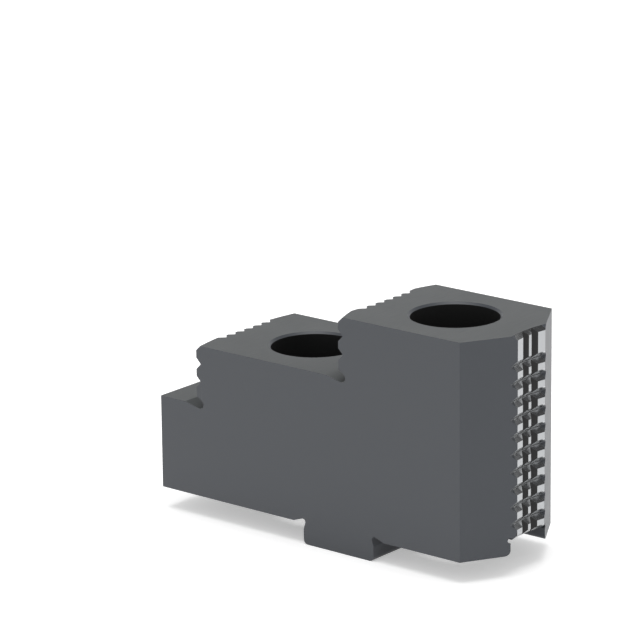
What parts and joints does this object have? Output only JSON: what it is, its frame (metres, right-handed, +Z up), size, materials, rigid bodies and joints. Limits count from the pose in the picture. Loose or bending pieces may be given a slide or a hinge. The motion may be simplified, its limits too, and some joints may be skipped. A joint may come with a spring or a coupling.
{
  "type": "reversible top jaw",
  "caption": "Stepped reversible top jaw for a lathe chuck, with cross-grooved gripping faces, a cross tongue and lengthwise slot underneath, and counterbored screw holes.",
  "frame": {"origin": "middle of the cross tongue on the base plane that seats on the master jaw", "axes": "+X along the jaw towards its tip and the lathe axis, +Y across it, +Z up away from the master jaw"},
  "size_m": [0.0928, 0.0336, 0.055],
  "materials": {
    "black_oxide_steel": "black oxide over ground and milled steel, the gripping faces brighter"
  },
  "bodies": {
    "root": {"top_jaw": "black_oxide_steel"}
  },
  "joints": []
}
